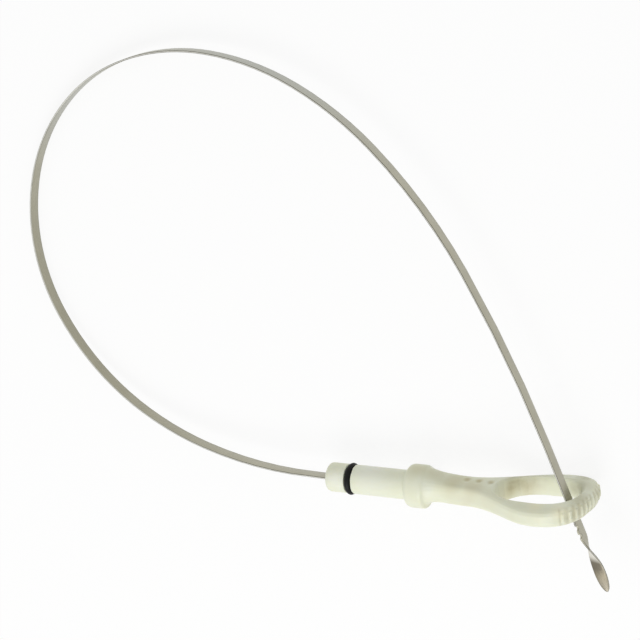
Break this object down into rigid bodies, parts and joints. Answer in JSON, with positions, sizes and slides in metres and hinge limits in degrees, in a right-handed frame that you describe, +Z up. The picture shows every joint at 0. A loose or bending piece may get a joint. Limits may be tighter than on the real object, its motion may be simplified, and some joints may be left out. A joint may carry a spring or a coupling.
{
  "type": "engine oil dipstick",
  "caption": "Engine oil dipstick with a moulded nylon spigot, stop collar and finger ring, an O-ring, and a flat spring steel blade coiled into an open loop, with notches and a twisted tip.",
  "frame": {"origin": "on the spigot's axis, in the plane of the collar's shoulder that stops on the dipstick tube", "axes": "+X along the handle towards the finger ring, short of it by the three degrees that the coiled dipstick leans as it lies; +Y across the coiled loop; +Z up from the surface that it lies on"},
  "size_m": [0.2191, 0.1849, 0.0314],
  "materials": {
    "handle": "satin moulded nylon, natural ivory",
    "o_ring": "smooth nitrile rubber, black",
    "blade": "rolled spring steel strip with sheared edges"
  },
  "bodies": {
    "root": {"handle": "handle", "o_ring": "o_ring", "blade": "blade"}
  },
  "joints": []
}
